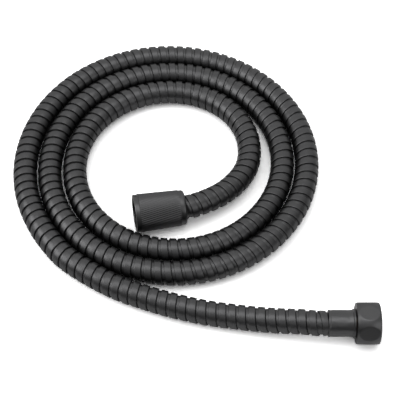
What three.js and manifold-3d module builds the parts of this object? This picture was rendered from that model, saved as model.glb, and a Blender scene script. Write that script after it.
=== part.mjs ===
// A shower hose, 1.5 m long over its fittings, lying on a floor in a loose flat coil.
// Millimetres, +Z up, the floor at z = 0. The origin is on the floor, midway between the outer
// faces of the two end fittings.
//
// Each end is the same brass insert, pressed into the inner tube, with a crimped ferrule round the
// tube and a sealing washer in front. A union nut turns freely on each insert: a long knurled cone
// nut for the hand shower and a short hexagon nut for the wall or mixer.
import * as THREE from "three";
import { mergeVertices } from "three/addons/utils/BufferGeometryUtils.js";
import Module from "manifold-3d";

const wasm = await Module();
wasm.setup();

// Fits between neighbouring pieces.
const SEAT_GAP = 0.3;

// The hose: a strip-wound metal jacket over a rubber tube.
const HOSE_DIAMETER = 14.8;
const JACKET_WALL = 1.5;
const JACKET_SIDES = 12;
const TUBE_WALL = 1.5;
const TUBE_SIDES = 8;

// The brass insert. Each barb slopes over most of its pitch and then drops.
const INSERT_WALL = 0.8;
const INSERT_TAIL_LENGTH = 12.5;
const BARB_COUNT = 3;
const BARB_DEPTH = 0.3;
const BARB_SLOPE_SHARE = 0.8;
const NECK_RADIUS = 6.2;
const FLANGE_CLEARANCE = 0.4;
const FLANGE_THICKNESS = 2.2;

// The crimped ferrule stands a little proud of the hose.
const FERRULE_STEP = 0.5;
const FERRULE_LENGTH = 15.6;
const FERRULE_LIP = 1.5;
const FERRULE_EDGE = 0.6;

// The sealing washer.
const WASHER_BORE_RADIUS = 5.5;
const WASHER_THICKNESS = 2;

// Both nuts take a half-inch pipe thread: the bore is its minor diameter.
const THREAD_BORE_RADIUS = 9.5;
const MOUTH_CHAMFER = 0.4;
const NUT_SHOULDER = 3;

// The hexagon nut: a barrel with six milled flats.
const HEX_NUT_LENGTH = 13.8;
const HEX_FLAT_WALL = 2.55;
const HEX_BARREL_RISE = 0.93;
const HEX_RIM_WALL = 2.2;
const HEX_EDGE = 0.6;

// The cone nut, with a plain rim at its mouth, a knurled body and a plain shoulder at the hose.
const CONE_NUT_LENGTH = 31.1;
const CONE_MOUTH_DEPTH = 10.5;
const CONE_MOUTH_WALL = 2.4;
const CONE_TAPER = 1.0;
const CONE_RIM_LENGTH = 2.7;
const CONE_SHOULDER_LENGTH = 2.2;
const CONE_GROOVE = 0.3;
const CONE_EDGE = 0.7;
const FERRULE_RUNNING_GAP = 0.4;

const ROUND_SEGMENTS = 48;

// Where the fittings lie on the floor, and the compass direction that each mouth faces.
const CONE_BACK = [-39.7, 42.0];
const CONE_HEADING_DEG = 190.5;
const HEX_BACK = [58.7, -39.8];
const HEX_HEADING_DEG = 0;

// The hose leaves each ferrule straight for this far.
const STRAIGHT_LENGTH = 5;

// From the cone nut the hose comes down to the floor.
const LEAD_POINTS = [
  [-24.7, 48.0, 10.0],
  [-14.4, 55.4, 9.1],
  [-5.9, 65.4, 8.2],
];

// The coil's turns, counter-clockwise from above: the radius at every eighth of a turn. The first
// and last radii only shape their neighbours.
const COIL_CENTRE = [-48.4, 76.6];
const COIL_RADII = [
  37.0,
  47.8, 56.3, 59.5, 60.1, 60.6, 62.0, 63.9, 66.5,
  69.7, 72.4, 75.0, 76.0, 76.2, 77.6, 79.8, 82.0,
  85.1, 87.6, 90.1, 91.6, 91.7, 92.7,
  101.7,
];
const COIL_EIGHTHS = COIL_RADII.length - 3;
const STEPS_PER_TURN = 24;

// The hose leaves the coil and rises to the hexagon nut.
const TAIL_POINTS = [
  [-104.7, 2.9, 7.4],
  [-82.4, -11.4, 7.4],
  [-57.4, -21.7, 7.4],
  [-31.4, -29.2, 7.4],
  [-7.4, -33.4, 7.7],
  [11.6, -36.4, 9.3],
  [28.6, -38.3, 11.1],
];

const jacketOuterRadius = HOSE_DIAMETER / 2;
const jacketInnerRadius = jacketOuterRadius - JACKET_WALL;
const tubeOuterRadius = jacketInnerRadius * Math.cos(Math.PI / JACKET_SIDES) - SEAT_GAP;
const tubeBoreRadius = tubeOuterRadius - TUBE_WALL;
const tailRadius = tubeBoreRadius * Math.cos(Math.PI / TUBE_SIDES) - SEAT_GAP;
const insertBoreRadius = tailRadius - INSERT_WALL;
const ferruleRadius = jacketOuterRadius + FERRULE_STEP;
const ferruleBoreRadius = tubeOuterRadius + SEAT_GAP;
const flangeRadius = THREAD_BORE_RADIUS - FLANGE_CLEARANCE;
const washerRadius = THREAD_BORE_RADIUS - SEAT_GAP;
const hexMouthDepth = HEX_NUT_LENGTH - NUT_SHOULDER;
const hexFlatRadius = THREAD_BORE_RADIUS + HEX_FLAT_WALL;
const coneMouthRadius = THREAD_BORE_RADIUS + CONE_MOUTH_WALL;
const coneBackRadius = coneMouthRadius - CONE_TAPER;

// Distances along a fitting's axis are measured from the face in the nut that the insert's flange
// bears on, towards the mouth.
const flangeBack = SEAT_GAP;
const flangeFront = flangeBack + FLANGE_THICKNESS;
const washerBack = flangeFront + SEAT_GAP;
const washerFront = washerBack + WASHER_THICKNESS;
const neckBack = -NUT_SHOULDER;
const ferruleFront = neckBack - SEAT_GAP;
const ferruleBack = ferruleFront - FERRULE_LENGTH;
const tubeEnd = ferruleFront - FERRULE_LIP - SEAT_GAP;
const hoseEnd = ferruleBack - SEAT_GAP;

const satinBlack = new THREE.MeshStandardMaterial({ color: 0x1c1c1e, roughness: 0.45, metalness: 0.85 });
const jacketBlack = new THREE.MeshStandardMaterial({ color: 0x202022, roughness: 0.4, metalness: 0.9 });
const brass = new THREE.MeshStandardMaterial({ color: 0xb5924a, roughness: 0.35, metalness: 1 });
const tubeRubber = new THREE.MeshStandardMaterial({ color: 0x2a2a2a, roughness: 0.8, metalness: 0 });
const washerRubber = new THREE.MeshStandardMaterial({ color: 0x161616, roughness: 0.85, metalness: 0 });

// A turned solid about Y. The profile is a closed outline of [radius, along] points that runs up
// the outside and down the inside.
function turned(profile) {
  const points = [...profile, profile[0]].map(([radius, along]) => new THREE.Vector2(radius, along));
  return new THREE.LatheGeometry(points, ROUND_SEGMENTS);
}

// A quarter round between two faces at right angles, as profile points.
function roundedEdge(radius, along, size, startDeg, steps = 3) {
  return Array.from({ length: steps + 1 }, (_, i) => {
    const angle = THREE.MathUtils.degToRad(startDeg + (90 * i) / steps);
    return [radius + size * Math.cos(angle), along + size * Math.sin(angle)];
  });
}

function toSolid(geometry) {
  const bare = geometry.clone();
  bare.deleteAttribute("normal");
  bare.deleteAttribute("uv");
  const merged = mergeVertices(bare);
  return new wasm.Manifold(new wasm.Mesh({
    numProp: 3,
    vertProperties: new Float32Array(merged.attributes.position.array),
    triVerts: new Uint32Array(merged.index.array),
  }));
}

function toGeometry(solid) {
  const { vertProperties, triVerts } = solid.getMesh();
  const geometry = new THREE.BufferGeometry();
  geometry.setAttribute("position", new THREE.BufferAttribute(vertProperties, 3));
  geometry.setIndex(new THREE.BufferAttribute(triVerts, 1));
  geometry.computeVertexNormals();
  return geometry;
}

function mesh(name, geometry, material) {
  const piece = new THREE.Mesh(geometry, material);
  piece.name = name;
  return piece;
}

// A value between the entries of a list, on a smooth curve through them.
function smoothValue(list, place) {
  const i = Math.min(Math.floor(place), list.length - 3);
  const u = place - i;
  const [before, from, to, after] = [list[i - 1], list[i], list[i + 1], list[i + 2]];
  return from + 0.5 * u * (to - before
    + u * (2 * before - 5 * from + 4 * to - after
    + u * (3 * (from - to) + after - before)));
}

// A point of the coil, so many eighths of a turn after it passes east of its centre.
function coilPoint(eighths) {
  const angle = (eighths * Math.PI) / 4;
  const radius = smoothValue(COIL_RADII, eighths + 1);
  return new THREE.Vector3(
    COIL_CENTRE[0] + radius * Math.cos(angle),
    COIL_CENTRE[1] + radius * Math.sin(angle),
    jacketOuterRadius,
  );
}

// A fitting's place: its axis runs along Y, towards the mouth, from the seat in its nut.
function endFrame(back, headingDeg, backHeight, tilt, seat) {
  const heading = THREE.MathUtils.degToRad(headingDeg);
  const along = new THREE.Vector3(
    Math.cos(heading) * Math.cos(tilt),
    Math.sin(heading) * Math.cos(tilt),
    Math.sin(tilt),
  );
  const up = new THREE.Vector3(0, 0, 1).addScaledVector(along, -along.z).normalize();
  const across = new THREE.Vector3().crossVectors(along, up);
  const origin = new THREE.Vector3(back[0], back[1], backHeight).addScaledVector(along, seat);
  const group = new THREE.Group();
  group.quaternion.setFromRotationMatrix(new THREE.Matrix4().makeBasis(across, along, up));
  group.position.copy(origin);
  const pointAt = (distance) => origin.clone().addScaledVector(along, distance);
  return { group, pointAt };
}

// The way the hose lies, with equal steps between its points, so that neighbouring turns nest.
class HoseRoute extends THREE.CatmullRomCurve3 {
  getUtoTmapping(u) {
    return u;
  }
}

// A hollow tube of straight-sided section with a flat underneath.
function tubeAlong(points, outerRadius, innerRadius, sides) {
  const ring = (radius) => Array.from({ length: sides }, (_, i) => {
    const angle = (2 * Math.PI * (i + 0.5)) / sides;
    return new THREE.Vector2(radius * Math.cos(angle), radius * Math.sin(angle));
  });
  const section = new THREE.Shape(ring(outerRadius));
  section.holes.push(new THREE.Path(ring(innerRadius)));
  return new THREE.ExtrudeGeometry(section, {
    steps: points.length - 1,
    extrudePath: new HoseRoute(points, false, "centripetal"),
    bevelEnabled: false,
  });
}

function insertGeometry() {
  const tailStart = tubeEnd - INSERT_TAIL_LENGTH;
  const barbPitch = INSERT_TAIL_LENGTH / (BARB_COUNT + 1);
  const barbs = Array.from({ length: BARB_COUNT }, (_, i) => [
    [tailRadius - BARB_DEPTH, tailStart + barbPitch * i],
    [tailRadius, tailStart + barbPitch * (i + BARB_SLOPE_SHARE)],
  ]).flat();
  return turned([
    [insertBoreRadius, tailStart],
    ...barbs,
    [tailRadius, neckBack],
    [NECK_RADIUS, neckBack],
    [NECK_RADIUS, flangeBack],
    [flangeRadius, flangeBack],
    [flangeRadius, flangeFront],
    [insertBoreRadius, flangeFront],
  ]);
}

function ferruleGeometry() {
  const edgeRadius = ferruleRadius - FERRULE_EDGE;
  return turned([
    ...roundedEdge(edgeRadius, ferruleBack + FERRULE_EDGE, FERRULE_EDGE, -90),
    [ferruleRadius, ferruleFront],
    [tailRadius + SEAT_GAP, ferruleFront],
    [tailRadius + SEAT_GAP, ferruleFront - FERRULE_LIP],
    [ferruleBoreRadius, ferruleFront - FERRULE_LIP],
    [ferruleBoreRadius, ferruleBack],
  ]);
}

function washerGeometry() {
  return turned([
    [WASHER_BORE_RADIUS, washerBack],
    [washerRadius, washerBack],
    [washerRadius, washerFront],
    [WASHER_BORE_RADIUS, washerFront],
  ]);
}

function hexNutGeometry() {
  const back = hexMouthDepth - HEX_NUT_LENGTH;
  const halfLength = HEX_NUT_LENGTH / 2;
  const middleRadius = hexFlatRadius + HEX_BARREL_RISE;
  const endRadius = THREAD_BORE_RADIUS + HEX_RIM_WALL;
  const barrelRadius = (along) =>
    middleRadius - (middleRadius - endRadius) * ((along - back - halfLength) / halfLength) ** 2;
  const barrelSteps = 8;
  const barrel = Array.from({ length: barrelSteps + 1 }, (_, i) => {
    const along = back + HEX_EDGE + ((HEX_NUT_LENGTH - 2 * HEX_EDGE) * i) / barrelSteps;
    return [barrelRadius(along), along];
  });
  const faceRadius = endRadius - HEX_EDGE;
  const body = turned([
    [faceRadius, back],
    ...barrel,
    [faceRadius, hexMouthDepth],
    [THREAD_BORE_RADIUS + MOUTH_CHAMFER, hexMouthDepth],
    [THREAD_BORE_RADIUS, hexMouthDepth - MOUTH_CHAMFER],
    [THREAD_BORE_RADIUS, 0],
    [NECK_RADIUS + SEAT_GAP, 0],
    [NECK_RADIUS + SEAT_GAP, back],
  ]);
  const cornerRadius = hexFlatRadius / Math.cos(Math.PI / 6);
  const prism = new THREE.CylinderGeometry(
    cornerRadius, cornerRadius, 2 * HEX_NUT_LENGTH, 6, 1, false, Math.PI / 6);
  return toGeometry(toSolid(body).intersect(toSolid(prism)));
}

function coneNutGeometry() {
  const back = CONE_MOUTH_DEPTH - CONE_NUT_LENGTH;
  const outside = (along) => THREE.MathUtils.mapLinear(
    along, back, CONE_MOUTH_DEPTH, coneBackRadius, coneMouthRadius);
  const shoulderEnd = back + CONE_SHOULDER_LENGTH;
  const rimStart = CONE_MOUTH_DEPTH - CONE_RIM_LENGTH;
  const backEdge = outside(back + CONE_EDGE) - CONE_EDGE;
  const mouthEdge = outside(CONE_MOUTH_DEPTH - CONE_EDGE) - CONE_EDGE;
  const rearBore = ferruleRadius + FERRULE_RUNNING_GAP;
  return turned([
    ...roundedEdge(backEdge, back + CONE_EDGE, CONE_EDGE, -90),
    [outside(shoulderEnd), shoulderEnd],
    [outside(shoulderEnd) - CONE_GROOVE, shoulderEnd],
    [outside(rimStart) - CONE_GROOVE, rimStart],
    [outside(rimStart), rimStart],
    ...roundedEdge(mouthEdge, CONE_MOUTH_DEPTH - CONE_EDGE, CONE_EDGE, 0),
    [THREAD_BORE_RADIUS + MOUTH_CHAMFER, CONE_MOUTH_DEPTH],
    [THREAD_BORE_RADIUS, CONE_MOUTH_DEPTH - MOUTH_CHAMFER],
    [THREAD_BORE_RADIUS, 0],
    [rearBore, 0],
    [rearBore, back],
  ]);
}

function addEndPieces(group, end) {
  group.add(
    mesh(`${end}_insert`, insertGeometry(), brass),
    mesh(`${end}_ferrule`, ferruleGeometry(), satinBlack),
    mesh(`${end}_washer`, washerGeometry(), washerRubber),
  );
}

// The cone nut lies on its side, so its axis tips by half its cone angle. The hexagon nut lies on
// a flat.
const coneTilt = Math.atan(CONE_TAPER / CONE_NUT_LENGTH);
const coneEnd = endFrame(CONE_BACK, CONE_HEADING_DEG, coneBackRadius * Math.cos(coneTilt),
  coneTilt, CONE_NUT_LENGTH - CONE_MOUTH_DEPTH);
coneEnd.group.add(mesh("cone_nut", coneNutGeometry(), satinBlack));
addEndPieces(coneEnd.group, "cone");

const hexEnd = endFrame(HEX_BACK, HEX_HEADING_DEG, hexFlatRadius, 0, NUT_SHOULDER);
hexEnd.group.add(mesh("hex_nut", hexNutGeometry(), satinBlack));
addEndPieces(hexEnd.group, "hex");

const coilSteps = Math.floor((COIL_EIGHTHS * STEPS_PER_TURN) / 8);
const hosePoints = [
  coneEnd.pointAt(hoseEnd),
  coneEnd.pointAt(hoseEnd - STRAIGHT_LENGTH),
  ...LEAD_POINTS.map((point) => new THREE.Vector3(...point)),
  ...Array.from({ length: coilSteps + 1 }, (_, i) => coilPoint((8 * i) / STEPS_PER_TURN)),
  ...TAIL_POINTS.map((point) => new THREE.Vector3(...point)),
  hexEnd.pointAt(hoseEnd - STRAIGHT_LENGTH),
  hexEnd.pointAt(hoseEnd),
];
const tubePoints = [coneEnd.pointAt(tubeEnd), ...hosePoints, hexEnd.pointAt(tubeEnd)];

const hose = new THREE.Group();
hose.add(
  mesh("hose_jacket", tubeAlong(hosePoints, jacketOuterRadius, jacketInnerRadius, JACKET_SIDES),
    jacketBlack),
  mesh("inner_tube", tubeAlong(tubePoints, tubeOuterRadius, tubeBoreRadius, TUBE_SIDES), tubeRubber),
  coneEnd.group,
  hexEnd.group,
);

export default hose;
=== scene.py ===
# %% [markdown]
# # A black shower hose
# The real thing is a rubber tube inside a jacket that is wound from one long metal strip, with a
# nut at each end: a long knurled cone nut for the hand shower, and a short hexagon nut for the
# wall. It lies on a table in two and a half loose turns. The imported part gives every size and
# place, so this script starts by loading it, and then dresses it piece by piece.

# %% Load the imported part
import math

import bmesh
import bpy
from mathutils import Matrix, Vector


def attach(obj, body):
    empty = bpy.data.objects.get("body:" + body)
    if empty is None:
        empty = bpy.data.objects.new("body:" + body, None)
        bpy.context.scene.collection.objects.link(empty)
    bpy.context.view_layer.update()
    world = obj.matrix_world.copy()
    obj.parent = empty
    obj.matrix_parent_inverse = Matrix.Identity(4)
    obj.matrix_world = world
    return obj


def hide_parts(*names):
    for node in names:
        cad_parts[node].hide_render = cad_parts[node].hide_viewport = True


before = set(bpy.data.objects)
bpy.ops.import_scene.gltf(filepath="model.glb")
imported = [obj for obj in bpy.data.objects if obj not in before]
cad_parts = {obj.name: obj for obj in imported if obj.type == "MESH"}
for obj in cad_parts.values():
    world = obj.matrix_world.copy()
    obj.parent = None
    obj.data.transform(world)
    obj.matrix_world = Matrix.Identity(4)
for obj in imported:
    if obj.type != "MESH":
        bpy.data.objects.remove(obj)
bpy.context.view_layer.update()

MM = 0.001
UP = Vector((0, 0, 1))
scene = bpy.context.scene
print("nodes:", ", ".join(sorted(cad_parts)))

# %% [markdown]
# ## The camera
# The hose is seen from in front and well above. A camera can be set by its turn and its place,
# but a place and a point to look at are easier to check against the picture, so this one is aimed
# with a track quaternion.

# %% Set the camera
CAMERA_PLACE = Vector((-30.43, -396.9, 644.75)) * MM
CAMERA_TARGET = Vector((-30.43, 54.93, 0)) * MM

camera_data = bpy.data.cameras.new("camera")
camera_data.sensor_width = 36
camera_data.lens = 113.6
camera_data.clip_start = 0.05
camera_data.clip_end = 30
camera = bpy.data.objects.new("camera", camera_data)
camera.location = CAMERA_PLACE
camera.rotation_euler = (CAMERA_TARGET - CAMERA_PLACE).to_track_quat("-Z", "Y").to_euler()
scene.collection.objects.link(camera)
scene.camera = camera
print(f"camera {(CAMERA_TARGET - CAMERA_PLACE).length:.3f} m from its target")

# %% [markdown]
# ## Where the two ends lie
# Both fittings are turned pieces, so each needs only an axis on the table. The part measures
# everything on that axis from the seat in the nut, towards the mouth, and so does this script:
# a matrix takes a point of a fitting, with X along its axis and Y up, to its place on the table.

# %% Sizes that the two fittings share
SEAT_GAP = 0.3 * MM
HOSE_RADIUS = 7.4 * MM
FERRULE_LENGTH = 15.6 * MM
NUT_SHOULDER = 3 * MM

FERRULE_FRONT = -NUT_SHOULDER - SEAT_GAP
FERRULE_BACK = FERRULE_FRONT - FERRULE_LENGTH
HOSE_END = FERRULE_BACK - SEAT_GAP
print(f"the hose starts {-HOSE_END / MM:.1f} mm behind the seat in each nut")

# %% Sizes of the two nuts
CONE_NUT_LENGTH = 31.1 * MM
CONE_MOUTH_DEPTH = 10.5 * MM
CONE_MOUTH_RADIUS = 11.9 * MM
CONE_BACK_RADIUS = 10.9 * MM
HEX_NUT_LENGTH = 13.8 * MM
HEX_FLAT_RADIUS = 12.05 * MM
print(f"the hexagon nut is {2 * HEX_FLAT_RADIUS / MM:.1f} mm across flats")


# %% Place the fittings
def fitting_place(back, heading_deg, back_height, tilt, seat):
    """The matrix of a fitting's seat, from the middle of its nut's back face."""
    heading = math.radians(heading_deg)
    level = math.cos(tilt)
    along = Vector((math.cos(heading) * level, math.sin(heading) * level, math.sin(tilt)))
    up = (UP - along * along.z).normalized()
    across = along.cross(up)
    origin = Vector((back[0], back[1], back_height)) + along * seat
    return Matrix.Translation(origin) @ Matrix((along, up, across)).transposed().to_4x4()


cone_tilt = math.atan((CONE_MOUTH_RADIUS - CONE_BACK_RADIUS) / CONE_NUT_LENGTH)
cone_place = fitting_place((-39.7 * MM, 42.0 * MM), 190.5, CONE_BACK_RADIUS * math.cos(cone_tilt),
                           cone_tilt, CONE_NUT_LENGTH - CONE_MOUTH_DEPTH)
hex_place = fitting_place((58.7 * MM, -39.8 * MM), 0, HEX_FLAT_RADIUS, 0, NUT_SHOULDER)


def on_axis(place, distance):
    """A point on a fitting's axis, so far from its seat towards the mouth."""
    return place @ Vector((distance, 0, 0))


print("cone nut seat:", [round(x / MM, 2) for x in cone_place.translation])
print("hexagon nut seat:", [round(x / MM, 2) for x in hex_place.translation])

# %% [markdown]
# ## The way the hose lies
# The hose leaves the cone nut, comes down to the table, makes two and a half turns round a centre
# that its radius slowly grows from, and leaves for the hexagon nut. The part gives those points.
# A spiral written as one formula would be shorter, but the real turns bulge here and there, so the
# radius is a list with a value at every eighth of a turn.

# %% Points of the route
LEAD_POINTS = [
    (-24.7, 48.0, 10.0),
    (-14.4, 55.4, 9.1),
    (-5.9, 65.4, 8.2),
]
COIL_CENTRE = (-48.4, 76.6)
COIL_RADII = [
    37.0,
    47.8, 56.3, 59.5, 60.1, 60.6, 62.0, 63.9, 66.5,
    69.7, 72.4, 75.0, 76.0, 76.2, 77.6, 79.8, 82.0,
    85.1, 87.6, 90.1, 91.6, 91.7, 92.7,
    101.7,
]
TAIL_POINTS = [
    (-104.7, 2.9, 7.4),
    (-82.4, -11.4, 7.4),
    (-57.4, -21.7, 7.4),
    (-31.4, -29.2, 7.4),
    (-7.4, -33.4, 7.7),
    (11.6, -36.4, 9.3),
    (28.6, -38.3, 11.1),
]
STRAIGHT_LENGTH = 5 * MM
COIL_STEPS_PER_TURN = 24
COIL_EIGHTHS = len(COIL_RADII) - 3


def smooth_value(values, place):
    """A value between the entries of a list, on a smooth curve through them."""
    i = min(int(place), len(values) - 3)
    u = place - i
    before, start, end, after = values[i - 1:i + 3]
    return start + 0.5 * u * (
        end - before
        + u * (2 * before - 5 * start + 4 * end - after
               + u * (3 * (start - end) + after - before)))


def coil_point(eighths):
    """A point of the coil, so many eighths of a turn after it passes the right of its centre."""
    angle = eighths * math.pi / 4
    radius = smooth_value(COIL_RADII, eighths + 1)
    return Vector((COIL_CENTRE[0] + radius * math.cos(angle),
                   COIL_CENTRE[1] + radius * math.sin(angle), HOSE_RADIUS / MM)) * MM


coil_steps = COIL_EIGHTHS * COIL_STEPS_PER_TURN // 8
route_points = [
    on_axis(cone_place, HOSE_END),
    on_axis(cone_place, HOSE_END - STRAIGHT_LENGTH),
    *[Vector(point) * MM for point in LEAD_POINTS],
    *[coil_point(8 * i / COIL_STEPS_PER_TURN) for i in range(coil_steps + 1)],
    *[Vector(point) * MM for point in TAIL_POINTS],
    on_axis(hex_place, HOSE_END - STRAIGHT_LENGTH),
    on_axis(hex_place, HOSE_END),
]
print(len(route_points), "points on the route")


# %% A smooth line through the points
def curve_point(points, i, u):
    """A point of the centripetal Catmull-Rom curve, between the points i and i + 1."""
    p1, p2 = points[i], points[i + 1]
    p0 = points[i - 1] if i > 0 else 2 * p1 - p2
    p3 = points[i + 2] if i + 2 < len(points) else 2 * p2 - p1
    d0, d1, d2 = (math.sqrt((b - a).length) for a, b in ((p0, p1), (p1, p2), (p2, p3)))
    slope1 = ((p1 - p0) / d0 - (p2 - p0) / (d0 + d1)) * d1 + (p2 - p1)
    slope2 = (p2 - p1) - ((p3 - p1) / (d1 + d2) - (p3 - p2) / d2) * d1
    return (p1 + slope1 * u
            + (3 * (p2 - p1) - 2 * slope1 - slope2) * u ** 2
            + (2 * (p1 - p2) + slope1 + slope2) * u ** 3)


LINE_STEPS = 16
route = [curve_point(route_points, i, step / LINE_STEPS)
         for i in range(len(route_points) - 1) for step in range(LINE_STEPS)]
route.append(route_points[-1])
hose_length = sum((b - a).length for a, b in zip(route, route[1:]))
print(f"the hose is {hose_length:.4f} m long between its ferrules")

# %% [markdown]
# ## Two helpers for node trees
# Materials and Geometry Nodes are both made of nodes. Naming each node and link by hand soon
# hides the idea, so a small class wraps a socket and lets ordinary arithmetic add the Math nodes.
# A second class adds any other node: its settings first, then the values or links of its inputs.


# %% Arithmetic on sockets
class Signal:
    """What leaves a socket. Arithmetic on it adds Math nodes to its tree."""

    def __init__(self, tree, socket):
        self.tree, self.socket = tree, socket

    def out(self, name):
        return Signal(self.tree, self.socket.node.outputs[name])

    def __add__(self, other):
        return self.tree.math("ADD", self, other)

    def __radd__(self, other):
        return self.tree.math("ADD", other, self)

    def __sub__(self, other):
        return self.tree.math("SUBTRACT", self, other)

    def __rsub__(self, other):
        return self.tree.math("SUBTRACT", other, self)

    def __mul__(self, other):
        return self.tree.math("MULTIPLY", self, other)

    def __rmul__(self, other):
        return self.tree.math("MULTIPLY", other, self)

    def __truediv__(self, other):
        return self.tree.math("DIVIDE", self, other)


# %% Any node
class Tree:
    """Adds nodes to a node tree."""

    def __init__(self, node_tree):
        self.nodes, self.links = node_tree.nodes, node_tree.links

    def feed(self, socket, value):
        if isinstance(value, Signal):
            self.links.new(value.socket, socket)
        else:
            socket.default_value = value

    def add(self, kind, inputs=None, output=0, **settings):
        node = self.nodes.new(kind)
        for name, value in settings.items():
            setattr(node, name, value)
        for key, value in (inputs or {}).items():
            self.feed(node.inputs[key], value)
        return Signal(self, node.outputs[output]) if node.outputs else node

    def math(self, operation, *values):
        return self.add("ShaderNodeMath", dict(enumerate(values)), operation=operation)

    def vector(self, operation, *values, output="Vector"):
        return self.add("ShaderNodeVectorMath", dict(enumerate(values)), output=output,
                        operation=operation)

    def scaled(self, vector, factor):
        return self.add("ShaderNodeVectorMath", {0: vector, "Scale": factor}, operation="SCALE")

    def xyz(self, x, y, z):
        return self.add("ShaderNodeCombineXYZ", {0: x, 1: y, 2: z})


print("node helpers ready")

# %% [markdown]
# ## The black finish
# The strip and the nuts have a dark, satin metal coating. Paint would be one way to make it, but
# its reflection of the pale table would be too weak, because paint reflects about 4% where this
# reflects twice that. A full metal with a dark grey colour gives both the soft light on top and
# the pale edge underneath. The strip also has faint lines that run along it, from the rolls that
# shaped it. They follow the winding, so they are drawn on the strip's own UV map.


# %% A material and its shader
def new_material(name, colour, metallic, roughness):
    """A material with a Principled shader, its tree and that shader."""
    material = bpy.data.materials.new(name)
    material.use_nodes = True
    material.diffuse_color = colour
    shader = material.node_tree.nodes["Principled BSDF"]
    shader.inputs["Base Color"].default_value = colour
    shader.inputs["Metallic"].default_value = metallic
    shader.inputs["Roughness"].default_value = roughness
    return material, Tree(material.node_tree), shader


def grey(level):
    return (level, level, level, 1)


# %% The strip's finish
STRIP_GREY = 0.094


def make_strip_finish():
    material, tree, shader = new_material("strip_finish", grey(STRIP_GREY), 1, 0.36)
    wound = tree.add("ShaderNodeSeparateXYZ",
                     {0: tree.add("ShaderNodeUVMap", uv_map="wound")})
    around, across = wound, wound.out("Y")
    lines = tree.add("ShaderNodeTexNoise", {
        "Vector": tree.xyz(around * 90, across * 5200, 0), "Scale": 1, "Detail": 2})
    waves = tree.add("ShaderNodeTexNoise", {
        "Vector": tree.xyz(around * 50, across * 1300, 7), "Scale": 1, "Detail": 1})
    place = tree.add("ShaderNodeTexCoord").out("Object")
    clouds = tree.add("ShaderNodeTexNoise", {"Vector": place, "Scale": 210, "Detail": 2})
    shade = STRIP_GREY * (0.8 + 0.16 * lines + 0.14 * waves + 0.1 * clouds)
    tree.feed(shader.inputs["Base Color"],
              tree.add("ShaderNodeCombineColor", {0: shade, 1: shade, 2: shade * 1.02}))
    tree.feed(shader.inputs["Roughness"], 0.27 + 0.06 * lines + 0.06 * waves + 0.05 * clouds)
    bump = tree.add("ShaderNodeBump", {"Strength": 1, "Distance": 0.00006,
                                       "Height": 0.8 * waves + 0.1 * lines})
    tree.feed(shader.inputs["Normal"], bump)
    return material


strip_finish = make_strip_finish()
print("made", strip_finish.name)

# %% [markdown]
# ## The wound jacket
# The jacket is one metal strip, folded along both edges and wound so that each turn hooks into
# the next. From outside that reads as a wide raised band, then a gap, then a narrow low band. The
# gap is on the side of the hexagon nut, and the low band belongs to the next turn. So on the
# outside of a bend the gap's low band gets wider, and on the inside it nearly closes, while the
# raised band keeps its width. A texture or a row of rings would lose both that and the slant, so
# the strip is swept for real: Geometry Nodes place a grid, one row of points for each small step
# of the winding and one column for each point of the strip's section.

# %% The section of the strip
STRIP_PITCH = 5.85 * MM
# Each point is how far along the hose it is from the last turn's edge, and how far below the top.
# The first is the last one of the turn before, at the bottom of the gap.
STRIP_SECTION = [
    (-0.35, 1.08),
    (-0.08, 0.98),
    (0.10, 0.95),
    (0.45, 0.90),
    (0.95, 0.92),
    (1.30, 0.90),
    (1.36, 0.30),
    (1.48, 0.08),
    (1.75, 0.00),
    (4.90, 0.00),
    (5.25, 0.08),
    (5.46, 0.34),
    (5.50, 1.08),
]
STRIP_MIDDLE = 3.8 * MM


def line_mesh(name, points, attributes=None):
    """A mesh of points joined in a row, with a number on each point for every attribute."""
    mesh = bpy.data.meshes.new(name)
    mesh.from_pydata(points, [(i, i + 1) for i in range(len(points) - 1)], [])
    for label, values in (attributes or {}).items():
        mesh.attributes.new(label, "FLOAT", "POINT").data.foreach_set("value", values)
    return mesh


def new_object(name, data):
    made = bpy.data.objects.new(name, data)
    scene.collection.objects.link(made)
    return made


strip_section = new_object("strip_section", line_mesh(
    "strip_section",
    [(along * MM - STRIP_MIDDLE, -depth * MM, 0) for along, depth in STRIP_SECTION]))
print(len(STRIP_SECTION), "points in the strip's section")


# %% Start a Geometry Nodes tree
def geometry_tree(name, sizes):
    """A new tree with a geometry input and output and the named inputs, as a Tree."""
    group = bpy.data.node_groups.new(name, "GeometryNodeTree")
    group.interface.new_socket("Geometry", in_out="INPUT", socket_type="NodeSocketGeometry")
    for label, kind in sizes.items():
        group.interface.new_socket(label, in_out="INPUT", socket_type="NodeSocket" + kind)
    group.interface.new_socket("Geometry", in_out="OUTPUT", socket_type="NodeSocketGeometry")
    tree = Tree(group)
    tree.group = group
    tree.given = tree.add("NodeGroupInput")
    return tree


def finish_tree(tree, geometry, crisp_deg):
    """Ends a tree: faces that meet at more than crisp_deg keep a crisp edge."""
    angle = tree.add("GeometryNodeInputMeshEdgeAngle")
    soft = tree.math("LESS_THAN", angle, math.radians(crisp_deg))
    geometry = tree.add("GeometryNodeSetShadeSmooth", {0: geometry, "Shade Smooth": True})
    geometry = tree.add("GeometryNodeSetShadeSmooth", {0: geometry, "Shade Smooth": soft},
                        domain="EDGE")
    geometry = tree.add("GeometryNodeRealizeInstances", {0: geometry})
    geometry = tree.add("GeometryNodeSetMaterial",
                        {0: geometry, "Material": tree.given.out("Material")})
    tree.add("NodeGroupOutput", {0: geometry})


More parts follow.
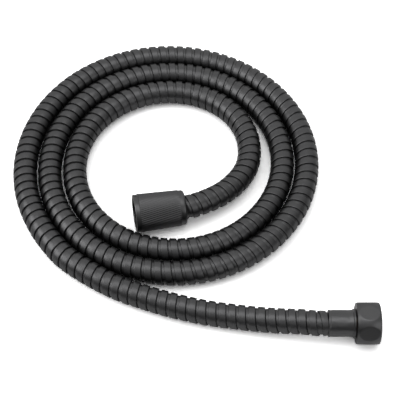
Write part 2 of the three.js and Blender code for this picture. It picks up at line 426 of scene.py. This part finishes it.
def grow(tree, name, mesh, values):
    """Runs a tree on a mesh and returns the result as an object with a plain mesh."""
    made = new_object(name, mesh)
    modifier = made.modifiers.new(name, "NODES")
    modifier.node_group = tree.group
    for item in tree.group.interface.items_tree:
        if item.in_out == "INPUT" and item.name in values:
            modifier[item.identifier] = values[item.name]
    depsgraph = bpy.context.evaluated_depsgraph_get()
    plain = bpy.data.meshes.new_from_object(
        made.evaluated_get(depsgraph), preserve_all_data_layers=True, depsgraph=depsgraph)
    made.modifiers.remove(modifier)
    made.data = plain
    plain.name = name
    print(f"{name}: {len(plain.vertices)} points, {len(plain.polygons)} faces")
    return made


# %% The tree that winds the strip
# The crimp draws the strip in over this stretch, measured outwards from a ferrule's edge.
TUCK_FROM, TUCK_TO = -0.6 * MM, 0.2 * MM
STRIP_WELD = 0.01 * MM


def make_winding_tree():
    tree = geometry_tree("wound_strip", {
        "Section": "Object", "Radius": "Float", "Pitch": "Float", "Turns": "Int",
        "Steps per turn": "Int", "Hidden at start": "Float", "Hidden at end": "Float",
        "Tuck": "Float", "Bore radius": "Float", "Bore sides": "Int", "Bore rings": "Int",
        "Material": "Material"})
    given = tree.given.out
    line = tree.add("GeometryNodeMeshToCurve", {0: given("Geometry")})
    section = tree.add("GeometryNodeObjectInfo", {"Object": given("Section")}, output="Geometry")
    count = tree.add("GeometryNodeAttributeDomainSize", {0: section})
    steps = given("Steps per turn")
    grid = tree.add("GeometryNodeMeshGrid", {
        "Vertices X": given("Turns") * steps + 1, "Vertices Y": count})

    # Row and column of each point. The first column repeats the last one of the turn before.
    index = tree.add("GeometryNodeInputIndex")
    row = tree.math("FLOOR", (index + 0.5) / count)
    column = index - row * count
    shared = tree.math("LESS_THAN", column, 0.5)
    winding = (row - shared * steps) / steps
    point = column + shared * (count - 1)
    spot = tree.add("ShaderNodeSeparateXYZ", {0: tree.add(
        "GeometryNodeSampleIndex",
        {0: section, "Value": tree.add("GeometryNodeInputPosition"), "Index": point},
        data_type="FLOAT_VECTOR", domain="POINT")})
    along, height = spot, spot.out("Y")

    # The frame of the hose where the turn is, with one direction as far up as it goes.
    reach = (winding + 1) * given("Pitch")
    sample = tree.add("GeometryNodeSampleCurve", {0: line, "Length": reach}, mode="LENGTH",
                      output="Position")
    tangent = sample.out("Tangent")
    side = tree.vector("NORMALIZE", tree.vector("CROSS_PRODUCT", tangent, tuple(UP)))
    up = tree.vector("CROSS_PRODUCT", side, tangent)

    # Inside the ferrules the strip is drawn in, as the crimp does.
    length = tree.add("GeometryNodeCurveLength", {0: line})
    outside = tree.math("MINIMUM", reach + along - given("Hidden at start"),
                        length - given("Hidden at end") - reach - along)
    tuck = tree.add("ShaderNodeMapRange", {
        "Value": outside, "From Min": TUCK_FROM, "From Max": TUCK_TO,
        "To Min": given("Tuck"), "To Max": 0.0}, interpolation_type="SMOOTHSTEP")
    radius = given("Radius") + height - tuck
    angle = winding * math.tau
    outward = tree.vector("ADD", tree.scaled(up, tree.math("COSINE", angle)),
                          tree.scaled(side, tree.math("SINE", angle)))
    place = tree.vector("ADD", sample, tree.vector(
        "ADD", tree.scaled(tangent, along), tree.scaled(outward, radius)))
    strip = tree.add("GeometryNodeSetPosition", {0: grid, "Position": place})

    # The UV map runs along the strip and across it, in metres.
    map_point = tree.add("ShaderNodeSeparateXYZ", {0: tree.add(
        "GeometryNodeSampleIndex",
        {0: section, "Value": tree.add("GeometryNodeInputPosition"), "Index": column},
        data_type="FLOAT_VECTOR", domain="POINT")})
    wound = tree.xyz(row / steps * math.tau * given("Radius"), map_point, 0)
    strip = tree.add("GeometryNodeStoreNamedAttribute", {
        0: strip, "Name": "wound", "Value": wound}, data_type="FLOAT2", domain="CORNER")
    strip = tree.add("GeometryNodeMergeByDistance", {0: strip, "Distance": STRIP_WELD})

    # The inner wall of the jacket.
    ring = tree.add("GeometryNodeCurvePrimitiveCircle", {
        "Resolution": given("Bore sides"), "Radius": given("Bore radius")}, mode="RADIUS")
    wall_line = tree.add("GeometryNodeResampleCurve", {
        0: line, "Count": given("Bore rings")}, mode="COUNT")
    wall = tree.add("GeometryNodeCurveToMesh", {"Curve": wall_line, "Profile Curve": ring})
    both = tree.add("GeometryNodeJoinGeometry")
    for piece in (strip, wall):
        tree.feed(both.socket.node.inputs[0], piece)
    finish_tree(tree, both, crisp_deg=14)
    return tree


winding_tree = make_winding_tree()
print("nodes in the winding tree:", len(winding_tree.nodes))

# %% Wind the strip
STEPS_PER_TURN = 32
HIDDEN_TURNS = 2
JACKET_BORE_RADIUS = 5.85 * MM
BORE_SIDES, BORE_RINGS = 12, 180
CRIMP_TUCK = 0.55 * MM
LEAST_HIDDEN_TURNS = 1.3
# The raised band's far edge, from the strip's middle, and the gap from there to the ferrule.
BAND_END, BAND_TO_FERRULE = 1.66 * MM, 0.6 * MM

# A raised band ends at the top right where the hexagon nut's ferrule starts.
hidden_at_end = HIDDEN_TURNS * STRIP_PITCH
band_end = hose_length + SEAT_GAP - BAND_TO_FERRULE
turns_to_end = math.ceil(hose_length / STRIP_PITCH + LEAST_HIDDEN_TURNS)
hidden_at_start = turns_to_end * STRIP_PITCH + BAND_END - band_end
full_line = [on_axis(cone_place, HOSE_END + hidden_at_start), *route,
             on_axis(hex_place, HOSE_END + hidden_at_end)]
full_length = hidden_at_start + hose_length + hidden_at_end
turns = int(full_length / STRIP_PITCH) - 1
hose = grow(winding_tree, "hose", line_mesh("route", full_line), {
    "Section": strip_section, "Radius": HOSE_RADIUS, "Pitch": STRIP_PITCH, "Turns": turns,
    "Steps per turn": STEPS_PER_TURN, "Hidden at start": hidden_at_start,
    "Hidden at end": hidden_at_end, "Tuck": CRIMP_TUCK, "Bore radius": JACKET_BORE_RADIUS,
    "Bore sides": BORE_SIDES, "Bore rings": BORE_RINGS, "Material": strip_finish})
bpy.data.objects.remove(strip_section)
print(turns, f"turns of the strip, {hidden_at_start / MM:.1f} mm of it in the cone nut")


# %% Close the ends of the jacket
def close_ends(piece):
    """Joins the open rims at each end of a hollow tube, and turns every face outwards."""
    bm = bmesh.new()
    bm.from_mesh(piece.data)
    open_edges = {edge for edge in bm.edges if edge.is_boundary}
    rims = []
    while open_edges:
        rim, wave = [], [open_edges.pop()]
        while wave:
            edge = wave.pop()
            rim.append(edge)
            near = {e for vert in edge.verts for e in vert.link_edges} & open_edges
            open_edges -= near
            wave += near
        rims.append(rim)
    print(piece.name, "open rims:", [len(rim) for rim in rims])
    middle = {id(rim): sum((e.verts[0].co for e in rim), Vector()) / len(rim) for rim in rims}
    first = rims[0]
    rest = sorted(rims[1:], key=lambda rim: (middle[id(rim)] - middle[id(first)]).length)
    for pair in ((first, rest[0]), (rest[1], rest[2])):
        bmesh.ops.bridge_loops(bm, edges=pair[0] + pair[1])
    bmesh.ops.recalc_face_normals(bm, faces=bm.faces)
    bm.to_mesh(piece.data)
    print(f"{piece.name}: volume {bm.calc_volume(signed=True) * 1e6:.1f} cm3, open edges "
          f"{sum(e.is_boundary for e in bm.edges)}")
    bm.free()


close_ends(hose)

# %% [markdown]
# ## The rubber tube
# Under the jacket runs a plain rubber tube that carries the water. Only its ends show, deep in the
# fittings. It is a ring swept along the same line, so the tree is short.


# %% Sweep the rubber tube
def make_tube_finish():
    material, tree, shader = new_material("tube_rubber", (0.025, 0.025, 0.027, 1), 0, 0.6)
    place = tree.add("ShaderNodeTexCoord").out("Object")
    bloom = tree.add("ShaderNodeTexNoise", {"Vector": place, "Scale": 400, "Detail": 4})
    tree.feed(shader.inputs["Roughness"], 0.5 + 0.25 * bloom)
    shade = 0.02 + 0.014 * bloom
    tree.feed(shader.inputs["Base Color"],
              tree.add("ShaderNodeCombineColor", {0: shade, 1: shade, 2: shade * 1.06}))
    return material


def make_tube_tree():
    tree = geometry_tree("rubber_tube", {
        "Outer radius": "Float", "Inner radius": "Float", "Sides": "Int", "Rings": "Int",
        "Material": "Material"})
    line = tree.add("GeometryNodeResampleCurve", {
        0: tree.add("GeometryNodeMeshToCurve", {0: tree.given.out("Geometry")}),
        "Count": tree.given.out("Rings")}, mode="COUNT")
    rings = tree.add("GeometryNodeJoinGeometry")
    for label in ("Outer radius", "Inner radius"):
        ring = tree.add("GeometryNodeCurvePrimitiveCircle", {
            "Resolution": tree.given.out("Sides"), "Radius": tree.given.out(label)},
            mode="RADIUS")
        tree.feed(rings.socket.node.inputs[0], ring)
    finish_tree(tree, tree.add("GeometryNodeCurveToMesh", {
        "Curve": line, "Profile Curve": rings}), crisp_deg=40)
    return tree


TUBE_END = FERRULE_FRONT - 1.8 * MM
TUBE_OUTER_RADIUS, TUBE_INNER_RADIUS = 5.4 * MM, 3.9 * MM
TUBE_SIDES, TUBE_RINGS = 20, 240

tube_line = [on_axis(cone_place, TUBE_END), *route, on_axis(hex_place, TUBE_END)]
rubber_tube = grow(make_tube_tree(), "rubber_tube", line_mesh("tube_line", tube_line), {
    "Outer radius": TUBE_OUTER_RADIUS, "Inner radius": TUBE_INNER_RADIUS,
    "Sides": TUBE_SIDES, "Rings": TUBE_RINGS, "Material": make_tube_finish()})
close_ends(rubber_tube)

# %% [markdown]
# ## Turned pieces
# Both nuts and the two ferrules are turned on a lathe, and then worked further: a knurl is rolled
# into the cone nut, six flats are milled on the hexagon nut, and a thread is cut in each mouth.
# Spinning an outline gives the plain shape only. So one tree spins the outline and also moves
# each point in or out: by a wave round the axis for the knurl, by the nearer of the barrel and a
# flat plane for the hexagon, and by a wave that climbs as it turns for the thread. The outline's
# points carry a number that says where each of these applies.


# %% The tree that turns a piece
DENT_SCALE = 330
DENT_STRETCH = 0.6
TURNED_WELD = 0.005 * MM


def make_turning_tree():
    tree = geometry_tree("turned_piece", {
        "Columns": "Int", "Flat radius": "Float", "Flat softness": "Float", "Ridges": "Int",
        "Ridge depth": "Float", "Lean": "Float", "Thread pitch": "Float",
        "Thread depth": "Float", "Dent depth": "Float", "Material": "Material"})
    given = tree.given.out
    outline = given("Geometry")
    count = tree.add("GeometryNodeAttributeDomainSize", {0: outline})
    grid = tree.add("GeometryNodeMeshGrid", {
        "Vertices X": given("Columns") + 1, "Vertices Y": count})
    index = tree.add("GeometryNodeInputIndex")
    column = tree.math("FLOOR", (index + 0.5) / count)
    row = index - column * count
    turn = column / given("Columns")

    def outline_value(value, kind):
        return tree.add("GeometryNodeSampleIndex", {0: outline, "Value": value, "Index": row},
                        data_type=kind, domain="POINT")

    def mark(name):
        return outline_value(tree.add("GeometryNodeInputNamedAttribute", {"Name": name},
                                      data_type="FLOAT"), "FLOAT")

    def wave(turns):
        return 0.5 - 0.5 * tree.math("COSINE", turns * math.tau)

    spot = tree.add("ShaderNodeSeparateXYZ", {
        0: outline_value(tree.add("GeometryNodeInputPosition"), "FLOAT_VECTOR")})
    along, radius = spot, spot.out("Y")
    angle = turn * math.tau + along * given("Lean")

    # The knurl's ridges follow the grid's own columns, which lean with them.
    radius = radius - given("Ridge depth") * mark("knurl") * wave(turn * given("Ridges"))

    # A flat's distance from the axis grows towards its corners.
    from_flat = tree.math("WRAP", angle, math.pi / 6, -math.pi / 6)
    flat = given("Flat radius") / tree.math("COSINE", from_flat)
    milled = tree.math("SMOOTH_MIN", radius, flat, given("Flat softness"))
    radius = radius + mark("flats") * (milled - radius)

    # A right-hand thread moves along the axis as it turns.
    radius = radius + given("Thread depth") * mark("thread") * wave(
        along / given("Thread pitch") - angle / math.tau)

    # The crimp leaves shallow dents, longer along the hose than they are round it.
    round_place = tree.xyz(along * DENT_STRETCH, tree.math("COSINE", angle) * radius,
                           tree.math("SINE", angle) * radius)
    dents = tree.add("ShaderNodeTexNoise", {
        "Vector": round_place, "Scale": DENT_SCALE, "Detail": 1})
    radius = radius - given("Dent depth") * mark("crimp") * dents

    place = tree.xyz(along, tree.math("COSINE", angle) * radius,
                     tree.math("SINE", angle) * radius)
    piece = tree.add("GeometryNodeSetPosition", {0: grid, "Position": place})
    turned_map = tree.xyz(turn, mark("reach"), 0)
    piece = tree.add("GeometryNodeStoreNamedAttribute", {
        0: piece, "Name": "turned", "Value": turned_map}, data_type="FLOAT2", domain="CORNER")
    piece = tree.add("GeometryNodeMergeByDistance", {0: piece, "Distance": TURNED_WELD})
    finish_tree(tree, piece, crisp_deg=34)
    return tree


turning_tree = make_turning_tree()
print("nodes in the turning tree:", len(turning_tree.nodes))


# %% Outlines with marks
def turn_piece(name, place, points, values):
    """Spins a closed outline of (along, radius, marks) points, in millimetres, into a piece."""
    points = [*points, points[0]]
    reach = [0.0]
    for (x0, r0, *_), (x1, r1, *_) in zip(points, points[1:]):
        reach.append(reach[-1] + math.hypot(x1 - x0, r1 - r0) * MM)
    marks = {label: [point[2].get(label, 0.0) if len(point) > 2 else 0.0 for point in points]
             for label in ("knurl", "flats", "thread", "crimp")}
    outline = line_mesh(name + "_outline", [(x * MM, r * MM, 0) for x, r, *_ in points],
                        {**marks, "reach": reach})
    plain = {"Flat radius": 1.0, "Flat softness": 0.0, "Ridges": 0, "Ridge depth": 0.0,
             "Lean": 0.0, "Thread pitch": 1.0, "Thread depth": 0.0, "Dent depth": 0.0}
    piece = grow(turning_tree, name, outline, {**plain, **values})
    piece.data.transform(place)
    bm = bmesh.new()
    bm.from_mesh(piece.data)
    if bm.calc_volume(signed=True) < 0:
        bmesh.ops.reverse_faces(bm, faces=bm.faces)
        bm.to_mesh(piece.data)
    print(f"{name}: {bm.calc_volume(signed=True) * 1e9:.0f} mm3, open edges "
          f"{sum(edge.is_boundary for edge in bm.edges)}")
    bm.free()
    return piece


def spread(start, end, steps):
    """Evenly spaced numbers from start to end."""
    return [start + (end - start) * i / steps for i in range(steps + 1)]


# %% The thread in a mouth
# A half-inch pipe thread has 14 turns to the inch.
THREAD_PITCH_MM = 25.4 / 14
THREAD_DEPTH = 0.95 * MM
THREAD_RUN_OUT_MM = 0.9
THREAD_BORE_MM = 9.5
THREAD_BOTTOM_MM = 1.6
THREAD_POINTS_PER_TURN = 8
# The bore widens to this radius over this length at the mouth, and the thread is a quarter deep
# where that ends.
MOUTH_OPENING_MM, MOUTH_BEVEL_MM = 9.9, 0.4
THREAD_START = 0.25


def threaded_bore(mouth):
    """Outline points of the bore, from the mouth inwards, with the thread fading at both ends."""
    top, bottom = mouth - MOUTH_BEVEL_MM, THREAD_BOTTOM_MM
    steps = round((top - bottom) / THREAD_PITCH_MM * THREAD_POINTS_PER_TURN)
    points = []
    for x in spread(top, bottom, steps):
        fade = min(1.0, (top - x) / THREAD_RUN_OUT_MM + THREAD_START,
                   (x - bottom) / THREAD_RUN_OUT_MM)
        points.append((x, THREAD_BORE_MM, {"thread": max(0.0, fade)}))
    return points


print(len(threaded_bore(CONE_MOUTH_DEPTH / MM)), "outline points in the cone nut's thread")

# %% [markdown]
# ## The nuts' finish
# The nuts have the same dark coating as the strip, on metal that was turned and then blasted, so
# it is a little rougher and shows fine grain instead of lines. Edges that hands and spanners touch
# are worn slightly brighter, but here the piece is new, so only the grain and a slight cloudiness
# are drawn.


# %% The finish of the nuts and ferrules
def make_blasted_finish(name, level, roughness, grain_scale):
    material, tree, shader = new_material(name, grey(level), 1, roughness)
    place = tree.add("ShaderNodeTexCoord").out("Object")
    grain = tree.add("ShaderNodeTexNoise", {"Vector": place, "Scale": grain_scale, "Detail": 2})
    clouds = tree.add("ShaderNodeTexNoise", {"Vector": place, "Scale": 140, "Detail": 2})
    shade = level * (0.88 + 0.14 * grain + 0.1 * clouds)
    tree.feed(shader.inputs["Base Color"],
              tree.add("ShaderNodeCombineColor", {0: shade, 1: shade, 2: shade * 1.02}))
    tree.feed(shader.inputs["Roughness"], roughness - 0.06 + 0.08 * grain + 0.05 * clouds)
    bump = tree.add("ShaderNodeBump", {"Strength": 0.15, "Distance": 0.00003, "Height": grain})
    tree.feed(shader.inputs["Normal"], bump)
    return material


nut_finish = make_blasted_finish("nut_finish", level=0.1, roughness=0.31, grain_scale=3200)
ferrule_finish = make_blasted_finish("ferrule_finish", level=0.1, roughness=0.32,
                                     grain_scale=1500)
print("made", nut_finish.name, "and", ferrule_finish.name)

# %% [markdown]
# ## The cone nut
# The long nut is held by hand, so most of it is knurled: fine ridges that lean along the nut. They
# stand a little proud of the plain rim at the mouth and of the plain shoulder at the hose.

# %% Turn the cone nut
KNURL_RIDGES = 56
COLUMNS_PER_RIDGE = 6
KNURL_DEPTH = 0.22 * MM
KNURL_LEAN = 42.0
KNURL_ROWS = 14
# These are in millimetres, as the outline's points are.
RIM_STEP = 0.25
SHOULDER_LENGTH, RIM_LENGTH, KNURL_FADE = 3.3, 2.7, 0.5
CONE_BACK_MM, CONE_MOUTH_MM = -20.6, 10.5
CONE_BORE_MM = 8.3


def cone_outside(x):
    """The cone nut's radius in millimetres, so far from the seat towards the mouth."""
    return 10.9 + (x - CONE_BACK_MM) / (CONE_MOUTH_MM - CONE_BACK_MM)


def cone_plain(x, drop=0.0):
    """An outline point on the plain ends, which stand a step below the knurl."""
    return (x, cone_outside(x) - RIM_STEP - drop)


def cone_nut_outline():
    back, mouth = CONE_BACK_MM, CONE_MOUTH_MM
    shoulder, rim = back + SHOULDER_LENGTH, mouth - RIM_LENGTH
    knurled = [(x, cone_outside(x), {"knurl": 1.0})
               for x in spread(shoulder + KNURL_FADE, rim - KNURL_FADE, KNURL_ROWS)]
    return [
        (back, CONE_BORE_MM), cone_plain(back, 1.15), cone_plain(back + 0.15, 0.72),
        cone_plain(back + 0.45, 0.33), cone_plain(back + 0.9, 0.08), cone_plain(back + 1.5),
        cone_plain(shoulder), (shoulder + 0.12, cone_outside(shoulder) - 0.05),
        *knurled,
        (rim - 0.12, cone_outside(rim) - 0.05), cone_plain(rim), cone_plain(mouth - 0.6),
        cone_plain(mouth - 0.25, 0.08), cone_plain(mouth - 0.06, 0.25), cone_plain(mouth, 0.5),
        (mouth, MOUTH_OPENING_MM),
        *threaded_bore(mouth),
        (0, THREAD_BORE_MM), *[(x, CONE_BORE_MM) for x in (0, -6.0, -12.0, -18.0)],
    ]


cone_nut = turn_piece("union_cone_nut", cone_place, cone_nut_outline(), {
    "Columns": KNURL_RIDGES * COLUMNS_PER_RIDGE, "Ridges": KNURL_RIDGES, "Ridge depth": KNURL_DEPTH,
    "Lean": KNURL_LEAN, "Thread pitch": THREAD_PITCH_MM * MM, "Thread depth": THREAD_DEPTH,
    "Material": nut_finish})

# %% [markdown]
# ## The hexagon nut
# The short nut starts as a barrel, and six flats are milled on it for a spanner. Where a plane
# cuts a barrel it leaves an oval, which is the nut's whole character, so the barrel's curve and
# the flats' distance are both taken from the part.


# %% Turn the hexagon nut
# These are in millimetres, as the outline's points are.
HEX_BACK_MM, HEX_MOUTH_MM = -3.0, 10.8
HEX_BORE_MM = 6.5
BARREL_MIDDLE, BARREL_HALF_LENGTH = 3.9, 6.9
BARREL_RADIUS, BARREL_END_RADIUS = 12.98, 11.7
BARREL_ROWS = 52


def barrel_radius(x):
    """The barrel's radius in millimetres, so far from the seat towards the mouth."""
    from_middle = (x - BARREL_MIDDLE) / BARREL_HALF_LENGTH
    return BARREL_RADIUS - (BARREL_RADIUS - BARREL_END_RADIUS) * from_middle ** 2


def hex_nut_outline():
    back, mouth = HEX_BACK_MM, HEX_MOUTH_MM
    barrel = [(x, barrel_radius(x), {"flats": 1.0})
              for x in spread(back + 0.45, mouth - 0.6, BARREL_ROWS)]
    return [
        (back, HEX_BORE_MM), (back, 11.1), (back, 11.35),
        (back + 0.06, 11.55), (back + 0.2, barrel_radius(back + 0.45) - 0.08),
        *barrel,
        (mouth - 0.3, barrel_radius(mouth - 0.6) - 0.15), (mouth - 0.1, 11.3),
        (mouth, 11.0), (mouth, MOUTH_OPENING_MM),
        *threaded_bore(mouth),
        (0, THREAD_BORE_MM), (0, HEX_BORE_MM),
    ]


hex_nut = turn_piece("union_hex_nut", hex_place, hex_nut_outline(), {
    "Columns": 288, "Flat radius": HEX_FLAT_RADIUS, "Flat softness": 0.12 * MM,
    "Thread pitch": THREAD_PITCH_MM * MM, "Thread depth": THREAD_DEPTH,
    "Material": nut_finish})

# %% [markdown]
# ## The ferrules
# A ferrule is a thin sleeve that is pressed round the end of the hose, and the jaws leave faint
# dents in it. The one at the hexagon nut ends in a small collar.


# %% Turn the ferrules
# These are in millimetres, as the outline's points are.
SLEEVE_RADIUS, SLEEVE_BORE, FRONT_BORE = 7.9, 5.7, 3.6
FRONT_WALL = 1.5
HEX_COLLAR = 0.5
CRIMP_ROWS = 26


def ferrule_outline(collar):
    front, back = FERRULE_FRONT / MM, FERRULE_BACK / MM
    body = [(x, SLEEVE_RADIUS, {"crimp": 1.0})
            for x in spread(back + 1.2, front - 3.5, CRIMP_ROWS)]
    collar_radius = SLEEVE_RADIUS + collar
    return [
        (back, SLEEVE_BORE), (back, 7.35), (back + 0.1, 7.65), (back + 0.3, 7.82),
        (back + 0.6, SLEEVE_RADIUS),
        *body,
        (front - FRONT_WALL, SLEEVE_RADIUS), (front - 1.2, collar_radius),
        (front - 0.2, collar_radius), (front, collar_radius - 0.2), (front, FRONT_BORE),
        (front - FRONT_WALL, FRONT_BORE), (front - FRONT_WALL, SLEEVE_BORE),
        (front - 8, SLEEVE_BORE),
    ]


ferrule_sizes = {"Columns": 96, "Dent depth": 0.4 * MM, "Material": ferrule_finish}
cone_ferrule = turn_piece("cone_sleeve", cone_place, ferrule_outline(0.0), ferrule_sizes)
hex_ferrule = turn_piece("hex_sleeve", hex_place, ferrule_outline(HEX_COLLAR), ferrule_sizes)

# %% [markdown]
# ## Inserts and washers
# The brass inserts and the rubber washers already have their shape in the part, and only their
# front faces show, inside the mouths. They keep their meshes and get a better finish.


# %% Finish the inserts and washers
def make_brass():
    material, tree, shader = new_material("insert_brass", (0.6, 0.41, 0.16, 1), 1, 0.3)
    place = tree.add("ShaderNodeTexCoord").out("Object")
    tarnish = tree.add("ShaderNodeTexNoise", {"Vector": place, "Scale": 330, "Detail": 4})
    mixed = tree.add("ShaderNodeMix", {
        0: tarnish, 6: (0.66, 0.46, 0.19, 1), 7: (0.4, 0.26, 0.1, 1)},
        output=2, data_type="RGBA")
    tree.feed(shader.inputs["Base Color"], mixed)
    tree.feed(shader.inputs["Roughness"], 0.22 + 0.22 * tarnish)
    return material


def make_washer_rubber():
    material, tree, shader = new_material("washer_rubber", grey(0.03), 0, 0.7)
    place = tree.add("ShaderNodeTexCoord").out("Object")
    grain = tree.add("ShaderNodeTexNoise", {"Vector": place, "Scale": 1800, "Detail": 3})
    shade = 0.024 + 0.016 * grain
    tree.feed(shader.inputs["Base Color"],
              tree.add("ShaderNodeCombineColor", {0: shade, 1: shade, 2: shade}))
    tree.feed(shader.inputs["Roughness"], 0.6 + 0.2 * grain)
    bump = tree.add("ShaderNodeBump", {"Strength": 0.3, "Distance": 0.00005, "Height": grain})
    tree.feed(shader.inputs["Normal"], bump)
    return material


brass, washer_rubber = make_brass(), make_washer_rubber()
for node, finish in (("cone_insert", brass), ("hex_insert", brass),
                     ("cone_washer", washer_rubber), ("hex_washer", washer_rubber)):
    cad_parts[node].data.materials.clear()
    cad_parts[node].data.materials.append(finish)
    print(node, "->", finish.name)

# %% [markdown]
# ## The table, the lamps and the room
# The hose is mirror enough to show its surroundings, so the light is planned by what a bright line
# on it would reflect: a large soft lamp overhead, another low on the left, a weak one low on the
# right in front, and a pale wall behind. The camera sees the table brighter than it is, which turns
# it white and still shows the hose's own shadow. Reflections see it a little darker, and darker
# still far out, so the hose keeps dark undersides. The light that it throws on the hose is that of
# a plain pale table.

# %% The table
FLOOR_DROP = 0.05 * MM
LIT_POINT = Vector((-38.4, 61.4, 0)) * MM
TABLE_GREY, TABLE_MIRRORED, TABLE_SEEN = 0.8, 0.7, 2.1
# Reflections of the table lose this much of its grey between these distances from the hose.
FAR_LOSS, FAR_FROM, FAR_TO = 0.3, 0.16, 0.36
TABLE_HALF_WIDTH = 3


def make_table():
    material = bpy.data.materials.new("table_white")
    material.use_nodes = True
    material.node_tree.nodes.clear()
    tree = Tree(material.node_tree)
    camera_ray = tree.add("ShaderNodeLightPath", output="Is Camera Ray")
    mirrored = tree.math("MAXIMUM", camera_ray.out("Is Glossy Ray"),
                         camera_ray.out("Is Transmission Ray"))
    place = tree.add("ShaderNodeTexCoord").out("Object")
    away = tree.vector("LENGTH", tree.vector("SUBTRACT", place, tuple(LIT_POINT)), output="Value")
    far = tree.add("ShaderNodeMapRange", {
        "Value": away, "From Min": FAR_FROM, "From Max": FAR_TO},
        interpolation_type="SMOOTHSTEP")
    shade = TABLE_GREY + (TABLE_SEEN - TABLE_GREY) * camera_ray + mirrored * (
        TABLE_MIRRORED - TABLE_GREY - FAR_LOSS * far)
    matt = tree.add("ShaderNodeBsdfDiffuse", {"Color": tree.add(
        "ShaderNodeCombineColor", {0: shade, 1: shade, 2: shade})})
    tree.add("ShaderNodeOutputMaterial", {0: matt})
    mesh = bpy.data.meshes.new("table")
    half = TABLE_HALF_WIDTH
    mesh.from_pydata([(x, y, -FLOOR_DROP) for x, y in
                      ((-half, -half), (half, -half), (half, half), (-half, half))],
                     [], [(0, 1, 2, 3)])
    mesh.materials.append(material)
    table = new_object("table", mesh)


make_table()
print("table made")


# %% The lamps
def make_lamp(name, azimuth_deg, elevation_deg, distance, size, brightness):
    """A round soft lamp. Azimuth 0 is behind the hose, and 90 on its right."""
    azimuth, elevation = math.radians(azimuth_deg), math.radians(elevation_deg)
    direction = Vector((math.sin(azimuth) * math.cos(elevation),
                        math.cos(azimuth) * math.cos(elevation), math.sin(elevation)))
    data = bpy.data.lights.new(name, "AREA")
    data.shape = "DISK"
    data.size = size
    data.energy = brightness * math.pi * size ** 2
    lamp = new_object(name, data)
    lamp.location = LIT_POINT + direction * distance
    lamp.rotation_euler = direction.to_track_quat("Z", "Y").to_euler()


make_lamp("softbox_over", 180, 88, 1.1, 0.8, 0.95)
make_lamp("softbox_left", -98, 42, 1.2, 0.9, 1.7)
make_lamp("softbox_right", 132, 28, 1.2, 0.8, 0.6)
print("lamps made")


# %% The room
def make_room():
    world = bpy.data.worlds.new("room")
    scene.world = world
    world.use_nodes = True
    world.node_tree.nodes.clear()
    tree = Tree(world.node_tree)
    direction = tree.add("ShaderNodeSeparateXYZ",
                         {0: tree.add("ShaderNodeTexCoord", output="Generated")})
    right, back, up = direction, direction.out("Y"), direction.out("Z")
    behind = tree.add("ShaderNodeMapRange", {"Value": back - 0.45 * right, "From Min": -0.55,
                                             "From Max": 0.75}, interpolation_type="SMOOTHSTEP")
    above = tree.add("ShaderNodeMapRange", {"Value": up, "From Min": 0.25, "From Max": 1.0},
                     interpolation_type="SMOOTHSTEP")
    level = 0.13 + 0.62 * behind + (0.5 - 0.42 * behind) * above
    camera_ray = tree.add("ShaderNodeLightPath", output="Is Camera Ray")
    room = tree.add("ShaderNodeBackground", {"Color": grey(1), "Strength": level})
    white = tree.add("ShaderNodeBackground", {"Color": grey(1), "Strength": 1.0})
    tree.add("ShaderNodeOutputWorld", {0: tree.add(
        "ShaderNodeMixShader", {0: camera_ray, 1: room, 2: white})})


make_room()
scene.view_settings.view_transform = "Standard"
print("room made")

# %% Ride and replace
for piece, body, node, slot_name in (
        (hose, "hose", "hose_jacket", "jacket_strip"),
        (rubber_tube, "hose", "inner_tube", "tube_rubber"),
        (cone_nut, "cone_nut", "cone_nut", "nut_finish"),
        (hex_nut, "hex_nut", "hex_nut", "nut_finish"),
        (cone_ferrule, "hose", "cone_ferrule", "ferrule_finish"),
        (hex_ferrule, "hose", "hex_ferrule", "ferrule_finish")):
    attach(piece, body)
    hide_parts(node)
